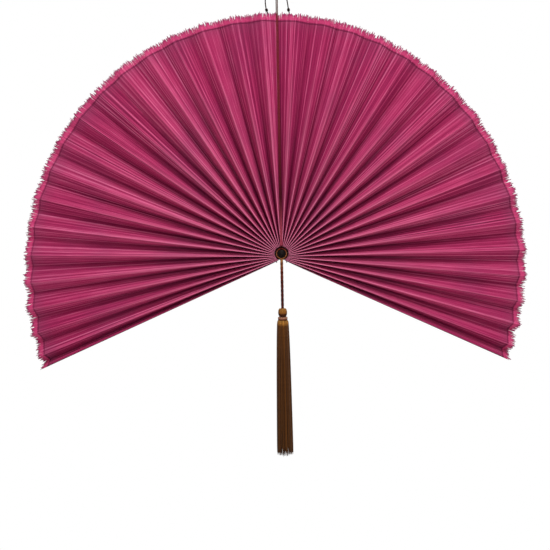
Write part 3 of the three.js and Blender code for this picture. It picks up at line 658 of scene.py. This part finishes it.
def laid_cord(name, line, diameter, plies, lay, material, fade=None, sides_per_ply=4, ends=(0.35, 0.35),
              groove=0.24):
    """A cord of several plies laid round each other, as one closed mesh that tapers off at its tips."""
    sides = plies * sides_per_ply
    before, after = line[:1] + (line[0] - line[1]) * 0.3, line[-1:] + (line[-1] - line[-2]) * 0.3
    tips = np.concatenate([before, line, after])
    rings, around, length = tube(tips, diameter / 2, sides, groove=groove, plies=plies, lay=lay, ends=ends)
    # Tone, how deep a point lies between the plies, which sets the painted shade there, and a value that runs
    # along the cord
    turn = np.arange(sides) / sides * 2 * math.pi * plies / 2
    place = np.ones(1) if fade is None else np.concatenate([fade[:1], fade, fade[-1:]])
    tint = together(0.45 + 0.25 * np.sin(turn), 1 - np.abs(np.cos(turn)) ** 0.6, place[:, None])
    pile = Pile("lay")
    pile.add(rings, around, length, tint)
    return pile.make(name, [material])


KNOT_BASE = 566
HANGING_DIAMETER = 2.2
PEG_RADIUS = 3.6
AROUND_PEG = -9.1
STRAND = [(0, 565.6), (1, 510), (1.6, 463), (4.2, 390), (5.6, 330), (5.8, 270), (4.6, 205), (2, 155),
          (-1.2, 118), (-6.2, 90), (-11.4, 72), (-15.9, 58), (-18.2, 46), (-18.9, 36), (-18.9, 20),
          (-18.6, 15.8), (-17.5, 13.4), (-15.6, 12.3), (-12.6, 12.1), (-10.4, 11.2)]


def hanging_route():
    """Down the middle fold, over the mat's inner edge, round the neck of the bead's peg and back up."""
    reach = (HANGING_DIAMETER + 0.3) / 2
    points = [(-reach, y, z) for y, z in STRAND] + [(-reach - 0.7, AROUND_PEG, 8.4)]
    bend = PEG_RADIUS + GAP + HANGING_DIAMETER / 2
    for degrees in (150, 185, 220, 255):
        turn = math.radians(degrees)
        points.append((bend * math.cos(turn), AROUND_PEG, bend * math.sin(turn)))
    back = [(-x, y, z) for x, y, z in reversed(points)]
    return smooth_route(lower_to_hub(points + back), 0.9)


SIDE_DIAMETER = 2.6
SIDE_KNOT_RADIUS, SIDE_KNOT_LENGTH, SIDE_KNOT_TURNS, SIDE_KNOT_CORD = 2.1, 4.6, 4, 1.9
SIDE_ROUTES = {
    "left": [(-4.4, 0, 565.6), (-5.6, -0.4, 556), (-11.5, -1, 540), (-18.6, -1.8, 523), (-22.3, -2, 508),
             (-22.7, -1.8, 499), (-21.9, -1.4, 491.5), (-20.6, -1, 485.6), (-19.1, -0.2, 480.8),
             (-18.4, 0.5, 475), (-18.1, 0.8, 462)],
    "right": [(4.4, 0, 565.6), (5.6, -0.4, 556), (10.8, -1, 540), (16.8, -1.8, 523), (20.1, -2, 507),
              (21.6, -2, 498), (22.6, -1.7, 490.5), (23.3, -1.2, 485.2), (24.6, 0, 479.4), (25, 0.9, 473),
              (24.6, 1.3, 461)],
}


def knot_line(centre, direction, radius, length, turns):
    """A cord wound a few times round another, each turn leaning across it."""
    axis = Vector(direction).normalized()
    aside = axis.cross(Vector((0, 1, 0))).normalized()
    ahead = axis.cross(aside)
    count = int(turns * 20)
    line = []
    for i in range(count + 1):
        share = i / count
        angle = 2 * math.pi * turns * share
        along = (share - 0.5) * length + 0.12 * length * math.sin(angle)
        swell = radius * (0.82 + 0.18 * math.sin(math.pi * share))
        outward = aside * math.cos(angle) + ahead * math.sin(angle)
        line.append(Vector(centre) + axis * along + outward * swell)
    return np.array(line)


def make_hanging_cords(finishes):
    line = hanging_route()
    height = line[:, 2] + HUB_DROP
    # Painted shade where it goes round the peg at the hub, pink with dye beside it, painted shade again deep
    # in the fold, dull red above, brown past the fringe
    fade = np.interp(height, [15, 18, 45, 110, 190, 270, 474, 486], [0.0, 0.05, 0.12, 0.3, 0.4, 0.6, 0.7, 1])
    cord = laid_cord("hanging_cord_laid", line, HANGING_DIAMETER, 3, 8, finishes["brown"], fade)
    finished(cord, "hub", "hanging_cord")
    for word in ("left", "right"):
        line = smooth_route(lower_to_hub(SIDE_ROUTES[word]), 0.8)
        cord = laid_cord(f"side_cord_{word}_laid", line, SIDE_DIAMETER, 3, 7, finishes["dark"])
        finished(cord, "hub", f"side_cord_{word}")
        above, middle, below = lower_to_hub(SIDE_ROUTES[word][6:9])
        wound = knot_line(middle, above - below, SIDE_KNOT_RADIUS, SIDE_KNOT_LENGTH, SIDE_KNOT_TURNS)
        knot = laid_cord(f"side_knot_{word}_tied", wound, SIDE_KNOT_CORD, 3, 6, finishes["dark"])
        finished(knot, "hub", f"side_knot_{word}")


def wound_core(profile, segments, material, depth=0):
    """A solid of revolution from points of radius and height, whose tint runs up it from 0 to 1."""
    turn = np.arange(segments) / segments * 2 * math.pi
    rings = np.array([[(radius * math.cos(t), radius * math.sin(t) - depth, height) for t in turn]
                      for radius, height in profile])
    around = np.broadcast_to(np.arange(segments + 1) / segments, (1, len(profile), segments + 1))
    heights = np.array([height for _, height in profile])
    # A groove value of 0.3 gives the core a little painted shade all over
    tint = together(0.4, 0.3, ((heights - heights.min()) / np.ptp(heights))[:, None])
    pile = Pile("lay")
    pile.add(rings[None], around, (heights * MM)[None, :, None], tint)
    return pile.make("core", [material])


def select_only(*pieces):
    bpy.ops.object.select_all(action="DESELECT")
    for piece in pieces:
        piece.select_set(True)
    bpy.context.view_layer.objects.active = pieces[0]


def named(name):
    piece = bpy.context.object
    piece.name = piece.data.name = name
    return piece


def joined(name, *pieces):
    """Several pieces made into one mesh."""
    select_only(*pieces)
    bpy.ops.object.join()
    return named(name)


def helix(radius_at, low, high, turns, steps_per_turn, depth=0):
    count = int(turns * steps_per_turn)
    share = np.linspace(0, 1, count + 1)
    height = low + (high - low) * share
    angle = 2 * math.pi * turns * share
    radius = np.array([radius_at(z) for z in height])
    return np.stack([radius * np.cos(angle), radius * np.sin(angle) - depth, height], axis=1)


NAIL_CORD = 3
GATHER_RADIUS = 7
GATHER_HEIGHT = 14


def make_gather_knot(finishes):
    low, high = KNOT_BASE - HUB_DROP, KNOT_BASE + GATHER_HEIGHT - HUB_DROP
    brown = finishes["brown"]

    def swell(z):
        share = (z - low) / GATHER_HEIGHT
        return GATHER_RADIUS * (0.8 + 0.16 * math.sin(math.pi * share)) - 1.3

    core = wound_core([(3.4, low + 0.1), (5.1, low + 1.2), (5.6, (low + high) / 2), (5.1, high - 1.2),
                       (3.2, high - 0.1)], 24, brown)
    turns = laid_cord("turns", helix(swell, low + 1.4, high - 1.4, 4.6, 36), 2.8, 3, 7, brown)
    tuck = smooth_route([(4.6, -3.2, low + 1.2), (5.6, -4.4, low + 4), (4.8, -5.2, low + 8),
                         (3.6, -5, high - 2), (1.6, -3, high - 0.4)], 0.8)
    tuck = laid_cord("tuck", tuck, 2.4, 3, 7, brown)
    knot = joined("gather_knot_wound", core, turns, tuck)
    finished(knot, "hub", "gather_knot")

    radius = NAIL_CORD / 2
    foot, crown = high + GAP, radius
    spread = (crown - foot) * 0.36
    points = [(-radius - GAP, 0, foot), (-radius - GAP - 0.3, 0, foot + 1.5),
              (-spread, 0, foot + (crown - foot) * 0.55), (-spread * 0.62, 0, crown - 1.6), (0, 0, crown)]
    points += [(-x, y, z) for x, y, z in reversed(points[:-1])]
    line = smooth_route(points, 0.8)
    loop = laid_cord("hanging_loop_laid", line, NAIL_CORD, 3, 8, brown)
    finished(loop, "hub", "hanging_loop")


LACING_DIAMETER = 1.6
LACING_RADIUS = INNER_RADIUS + 7
LACING_KNOT_REACH = 2.4
LACING_KNOT_SIZE = 0.36
LACING_KNOT_CORD = 1.1


def make_lacing(finishes):
    left = crease_angle(1, FREE_EDGE, LACING_RADIUS) + GAP / LACING_RADIUS
    right = crease_angle(-1, FREE_EDGE, LACING_RADIUS) - GAP / LACING_RADIUS
    angles = np.linspace(right, left, 110)
    line = np.stack([np.cos(angles), 0 * angles, np.sin(angles)], axis=1) * LACING_RADIUS - [0, 0, HUB_DROP]
    cord = laid_cord("lacing_laid", line, LACING_DIAMETER, 3, 5, finishes["lacing"])
    finished(cord, "hub", "lacing_cord")
    for word, angle, way in (("left", left, 1), ("right", right, -1)):
        middle = angle + way * (LACING_KNOT_REACH + GAP) / LACING_RADIUS
        outward = np.array([math.cos(middle), 0, math.sin(middle)])
        onward = np.array([-math.sin(middle), 0, math.cos(middle)])
        centre = LACING_RADIUS * outward - [0, 0, HUB_DROP]
        turn = np.linspace(0, 2 * math.pi, 90)[:, None]
        trefoil = ((np.sin(turn) + 2 * np.sin(2 * turn)) * outward
                   + (np.cos(turn) - 2 * np.cos(2 * turn)) * np.array([0, 1, 0])
                   - 1.5 * np.sin(3 * turn) * onward)
        trefoil = centre + LACING_KNOT_SIZE * trefoil
        knot = laid_cord(f"lacing_knot_{word}_tied", trefoil, LACING_KNOT_CORD, 3, 5, finishes["lacing"])
        finished(knot, "hub", f"lacing_knot_{word}")


# The hub

# The drum fills the ring of the pleats, as it does on the real fan
DRUM_RADIUS = 13.9
DRUM_FRONT, DRUM_BACK = -7, 17
DRUM_RIM = 2.2
DISH_DEPTH = 0.9
PEG_BORE, BORE_DEPTH = 4, 18
BEAD_RADIUS, BEAD_HEIGHT = 8.9, 5.6
# How far the tassel's loop lies in front of the mat's middle
LOOP_DEPTH = 15.5


def select_faces(piece, chosen):
    """Enters edit mode with only the faces selected for which chosen(centre, normal) is true."""
    bpy.ops.object.mode_set(mode="OBJECT")
    mesh = piece.data
    for item in (*mesh.vertices, *mesh.edges):
        item.select = False
    for face in mesh.polygons:
        face.select = bool(chosen(face.center, face.normal))
    bpy.ops.object.mode_set(mode="EDIT")
    bpy.ops.mesh.select_mode(type="FACE")


def place_in_mesh(piece):
    """Puts a piece's place and turn into its mesh, so that its object sits at the origin."""
    select_only(piece)
    bpy.ops.object.transform_apply(location=True, rotation=True, scale=True)
    return piece


def bevel_edges(piece, width):
    bevel = piece.modifiers.new("edges", "BEVEL")
    bevel.width = width * MM
    bevel.segments = 2
    bevel.limit_method = "ANGLE"
    bevel.angle_limit = math.radians(30)
    select_only(piece)
    bpy.ops.object.modifier_apply(modifier=bevel.name)
    bpy.ops.object.shade_smooth_by_angle(angle=math.radians(35))


def make_drum(finish):
    length = (DRUM_BACK - DRUM_FRONT) * MM
    middle = (DRUM_BACK + DRUM_FRONT) / 2 * MM
    bpy.ops.mesh.primitive_cylinder_add(vertices=72, radius=DRUM_RADIUS * MM, depth=length,
                                        location=(0, middle, HUB.z), rotation=(math.pi / 2, 0, 0))
    drum = place_in_mesh(named("hub_drum_turned"))
    # A shallow dish in the front, and the bore that the peg sits in
    select_faces(drum, lambda centre, normal: normal.y < -0.9)
    bpy.ops.mesh.inset(thickness=DRUM_RIM * MM)
    bpy.ops.mesh.inset(thickness=DISH_DEPTH * MM)
    bpy.ops.transform.translate(value=(0, DISH_DEPTH * MM, 0))
    bpy.ops.mesh.inset(thickness=(DRUM_RADIUS - DRUM_RIM - DISH_DEPTH - PEG_BORE) * MM)
    bpy.ops.mesh.extrude_region_move(TRANSFORM_OT_translate={"value": (0, BORE_DEPTH * MM, 0)})
    bpy.ops.object.mode_set(mode="OBJECT")
    bevel_edges(drum, 0.5)
    drum.data.materials.append(finish)
    finished(drum, "hub", "hub_drum")


def make_bead(finish):
    groove_front = (-LOOP_DEPTH - 1.5) * MM
    bpy.ops.mesh.primitive_uv_sphere_add(segments=64, ring_count=32, radius=BEAD_RADIUS * MM,
                                         location=(0, groove_front, HUB.z), rotation=(math.pi / 2, 0, 0),
                                         scale=(1, 1, BEAD_HEIGHT / BEAD_RADIUS))
    bead = place_in_mesh(named("hub_bead_turned"))
    bpy.ops.object.mode_set(mode="EDIT")
    bpy.ops.mesh.select_all(action="SELECT")
    bpy.ops.mesh.bisect(plane_co=(0, groove_front, 0), plane_no=(0, 1, 0), use_fill=True, clear_outer=True)
    select_faces(bead, lambda centre, normal: normal.y > 0.9 and abs(centre.y - groove_front) < 1e-5)
    # From the dome back: the groove for the tassel's loop, a flange behind it, then the peg
    for inset, push in ((0.7, 0.7), (0, 1.6), (-0.7, 0.7), (0, 1.2), (1.8, 0.8), (3.4, 0.3), (0, 21.9)):
        if inset > 0:
            bpy.ops.mesh.inset(thickness=inset * MM)
            bpy.ops.transform.translate(value=(0, push * MM, 0))
        else:
            bpy.ops.mesh.extrude_region_move(TRANSFORM_OT_translate={"value": (0, push * MM, 0)})
            if inset:
                grow = BEAD_RADIUS / (BEAD_RADIUS + inset)
                bpy.ops.transform.resize(value=(grow, 1, grow), center_override=(0, groove_front, HUB.z))
    bpy.ops.object.mode_set(mode="OBJECT")
    bevel_edges(bead, 0.18)
    bead.data.materials.append(finish)
    finished(bead, "hub", "hub_bead")


# The tassel

LOOP_RADIUS, LOOP_DIAMETER = 9.6, 2.0
TASSEL_DIAMETER = 6
TASSEL_LAY = 18
BEAD_TOP = 108.2
BALL_RADIUS, BALL_HEIGHT = 9, 16.8
NECK_RADIUS, NECK_HEIGHT = 9.6, 5.8
SKIRT_LENGTH, SKIRT_TOP, SKIRT_END = 265, 10.8, 16.4
SKIRT_LOCKS = 14


def make_tassel_loop(finishes):
    turn = np.linspace(-0.5 * math.pi, 1.5 * math.pi, 130)
    line = np.stack([LOOP_RADIUS * np.cos(turn), np.full(len(turn), -LOOP_DEPTH),
                     LOOP_RADIUS * np.sin(turn) - HUB_DROP], axis=1)
    # Golden at the foot, greyed at the sides, and painted shade at the top, beside the bead
    fade = 0.5 - 0.5 * np.sin(turn)
    loop = laid_cord("tassel_loop_laid", line, LOOP_DIAMETER, 2, 6, finishes["loop"], fade, 5, ends=(1, 1))
    finished(loop, "tassel_loop", "tassel_loop")


def make_tassel_cord(finishes):
    top = -HUB_DROP - (LOOP_RADIUS + LOOP_DIAMETER / 2 + GAP)
    bottom = -HUB_DROP - (BEAD_TOP + BALL_HEIGHT) + GAP
    heights = np.arange(top, bottom, -0.8)
    line = np.stack([0 * heights, np.full(len(heights), -LOOP_DEPTH), heights], axis=1)
    # Light where it leaves the loop, then a deeper red-brown
    fade = np.interp(heights, [bottom, -HUB_DROP - 62, -HUB_DROP - 30, top], [0.0, 0.12, 0.6, 1])
    cord = laid_cord("tassel_cord_laid", line, TASSEL_DIAMETER, 2, TASSEL_LAY, finishes["golden"], fade, 8,
                     ends=(0.6, 0.6), groove=0.16)
    finished(cord, "tassel", "tassel_cord")


def wound_piece(name, node, profile, line, diameter, finish):
    """A core with a thread wound round it."""
    core = wound_core(profile, 32, finish, LOOP_DEPTH)
    thread = laid_cord("thread", line, diameter, 2, 5, finish, np.linspace(0, 1, len(line)))
    finished(joined(name, core, thread), "tassel", node)


def make_tassel_head(finishes):
    low, high = -HUB_DROP - (BEAD_TOP + BALL_HEIGHT), -HUB_DROP - BEAD_TOP
    middle = (low + high) / 2

    def ball(z):
        share = (z - middle) / (BALL_HEIGHT / 2)
        return BALL_RADIUS * (0.55 + 0.45 * math.sqrt(max(0, 1 - share * share))) - 0.55

    rows = [(ball(z) - 0.25, z) for z in np.linspace(low + 0.5, high - 0.5, 14)]
    wound_piece("tassel_bead_wound", "tassel_bead", [(3.5, low + 0.2), *rows, (3.5, high - 0.2)],
                helix(ball, low + 0.55, high - 0.55, 14, 40, LOOP_DEPTH), 1.15, finishes["ball"])

    top = low - GAP
    foot = top - NECK_HEIGHT
    profile = [(8.2, foot), (8.9, foot + 0.4), (8.9, top - 0.4), (8.2, top)]
    wound_piece("tassel_neck_bound", "tassel_neck", profile,
                helix(lambda z: NECK_RADIUS - 0.6, foot + 0.6, top - 0.6, 4.2, 44, LOOP_DEPTH), 1.25,
                finishes["neck"])


def make_skirt(finishes):
    """Hanging strands in three layers, gathered in locks, the inner layers with painted shade, over a core
    with painted shade.
    """
    rng = np.random.default_rng(4100)
    top = -HUB_DROP - (BEAD_TOP + BALL_HEIGHT + NECK_HEIGHT + 2 * GAP)
    share = np.concatenate([[0, 0.008, 0.02, 0.04], np.linspace(0.07, 1, 18)])
    swell = SKIRT_TOP + (SKIRT_END - SKIRT_TOP) * np.sqrt(share)
    shoulder = 1 - 0.14 * np.exp(-share / 0.006)
    pile = Pile("lay")
    for layer, (count, depth, thick) in enumerate(((104, 0.0, 1.15), (84, 1.7, 1.15), (56, 4.2, 1.3))):
        turns = (np.arange(count) + 0.3 * rng.random(count)) / count * 2 * math.pi
        lengths = SKIRT_LENGTH - 1 + (rng.random(count) - 0.85) * (9 if layer else 7)
        phases = rng.random(count) * 2 * math.pi
        tones = rng.random(count)
        for turn, length, phase, tone in zip(turns, lengths, phases, tones):
            lock = np.cos(turn * SKIRT_LOCKS + 0.8 * np.sin(3 * turn))
            groove = 0.75 * (0.5 - 0.5 * lock) * np.minimum(1, share * 8 + 0.2)
            radius = (swell - 0.6 - groove) * shoulder - depth * (0.4 + 0.6 * np.sqrt(share))
            drift = 0.035 * np.sin(share * 5 + phase) * share
            gather = 0.5 / SKIRT_LOCKS * np.sin(turn * SKIRT_LOCKS) * np.minimum(1, share * 3)
            angle = turn + drift - gather
            line = [radius * np.cos(angle), radius * np.sin(angle) - LOOP_DEPTH, top - length * share]
            # The groove value puts painted shade on the inner layers
            tint = together(tone, 0.25 * layer, share[:, None])
            pile.add(*tube(np.stack(line, axis=1), thick / 2, 5, ends=(0.8, 0.5)), tint)
    strands = pile.make("strands", [finishes["yarn"]])
    core = wound_core([(7.6, top - 0.4), (8.6, top - 12), (9.6, top - 80), (10, top - 180), (9.2, top - 246)],
                      24, finishes["yarn"], LOOP_DEPTH)
    finished(joined("tassel_skirt_strands", strands, core), "tassel", "tassel_skirt")


# Light and ground

FLOOR_HEIGHT = -1.36
FLOOR_SIZE = (3.4, 3.0, 1)


def make_studio():
    world = bpy.data.worlds.new("studio")
    world.use_nodes = True
    bpy.context.scene.world = world
    tree = world.node_tree
    tree.nodes.clear()
    path = add_node(tree, "LightPath")
    seen = math_node(tree, "MAXIMUM", path.outputs["Is Camera Ray"], path.outputs["Is Glossy Ray"])
    seen = math_node(tree, "MAXIMUM", seen, path.outputs["Is Transmission Ray"])
    fill = add_node(tree, "Background", {"Color": linear("#f4f1ec"), "Strength": 0.27}).outputs[0]
    white = add_node(tree, "Background", {"Color": (1, 1, 1, 1), "Strength": 1.0}).outputs[0]
    both = add_node(tree, "MixShader", {0: seen, 1: fill, 2: white}).outputs[0]
    add_node(tree, "OutputWorld", {"Surface": both})

    bpy.ops.mesh.primitive_plane_add(size=1, location=(0, -1.2, FLOOR_HEIGHT))
    floor = named("floor")
    floor.scale = FLOOR_SIZE
    place_in_mesh(floor)
    floor.data.materials.append(new_material("pale_floor", Roughness=0.8, Base_Color=linear("#f3f1ee"))[0])

    for name, place, size, power, aim in (
            ("top_light", (0.3, -1.3, 1.5), 1.0, 42, (0, 0, -0.5)),
            ("front_light", (0.3, -3.0, 0.0), 1.8, 32, (0, 0, -0.55)),
            ("back_light", (0.2, 1.9, 0.9), 1.6, 14, (0, 0, -0.6))):
        data = bpy.data.lights.new(name, "AREA")
        data.size, data.energy = size, power
        lamp = new_object(name, data)
        lamp.location = place
        lamp.rotation_euler = (Vector(aim) - Vector(place)).to_track_quat("-Z", "Y").to_euler()
    bpy.context.scene.view_settings.view_transform = "Standard"


SILKY = {"rough": 0.5, "sheen": 0.04}

mat_finishes = [dyed_bamboo(), twisted_fibre("sewing_thread", "#561034", "#80204c", "#9c3c66", 1, 0.002)]
cord_finishes = {
    "brown": twisted_fibre(
        "waxed_hemp_cord", "#7c6054", "#c8a48c", "#ecd4c0", 3, 0.008, (0.0, "#501420"), (0.05, "#f47cb8"),
        (0.12, "#e06ca4"), (0.3, "#68243c"), (0.45, "#943c5c"), (0.65, "#ac4c64"), (1.0, "#70584c")),
    "lacing": twisted_fibre("dyed_lacing_thread", "#3a0818", "#7a1c40", "#a83c64", 3, 0.005),
    "dark": twisted_fibre("dark_hemp_cord", "#0c0404", "#221010", "#4a302a", 3, 0.007),
    "golden": twisted_fibre(
        "rayon_tassel_cord", "#3c1408", "#a06a38", "#d09c60", 2, 0.018, (0.0, "#64200e"), (0.15, "#7c2c1c"),
        (0.6, "#a8644a"), (1.0, "#ffffff"), rough=0.5, sheen=0.1),
    "loop": twisted_fibre(
        "rayon_loop_cord", "#6a3c20", "#c48c58", "#ecc490", 2, 0.006, (0.0, "#8c3028"), (0.5, "#d0b4a8"),
        (1.0, "#ffdcb8"), **SILKY),
    # The lower third of the ball is painted darker: painted shade on its underside
    "ball": twisted_fibre(
        "rayon_wound_thread", "#54300e", "#b88038", "#e0ac60", 2, 0.005, (0.0, "#6a4420"), (0.33, "#6a4420"),
        (0.5, "#f0d8c0"), (1.0, "#ffffff"), **SILKY),
    "neck": twisted_fibre(
        "rayon_bound_thread", "#5c3424", "#c0947c", "#e0bca4", 2, 0.005, (0.0, "#84442e"), (0.4, "#a06a50"),
        (0.6, "#fff0e8"), (1.0, "#ecd8c8"), **SILKY),
    # The strands' tops are painted lighter: a painted highlight on the skirt's shoulder, which faces up
    "yarn": twisted_fibre(
        "rayon_skirt_yarn", "#281606", "#8a5e26", "#c08e46", 1, 0.014, (0.0, "#ffffff"), (0.02, "#ffeccc"),
        (0.042, "#947a56"), (0.3, "#806844"), (1.0, "#876f4a"), **SILKY),
}
make_pleats(mat_finishes)
make_drum(dark_hub_wood())
make_bead(black_lacquer())
make_lacing(cord_finishes)
make_hanging_cords(cord_finishes)
make_gather_knot(cord_finishes)
make_tassel_loop(cord_finishes)
make_tassel_cord(cord_finishes)
make_tassel_head(cord_finishes)
make_skirt(cord_finishes)
make_studio()
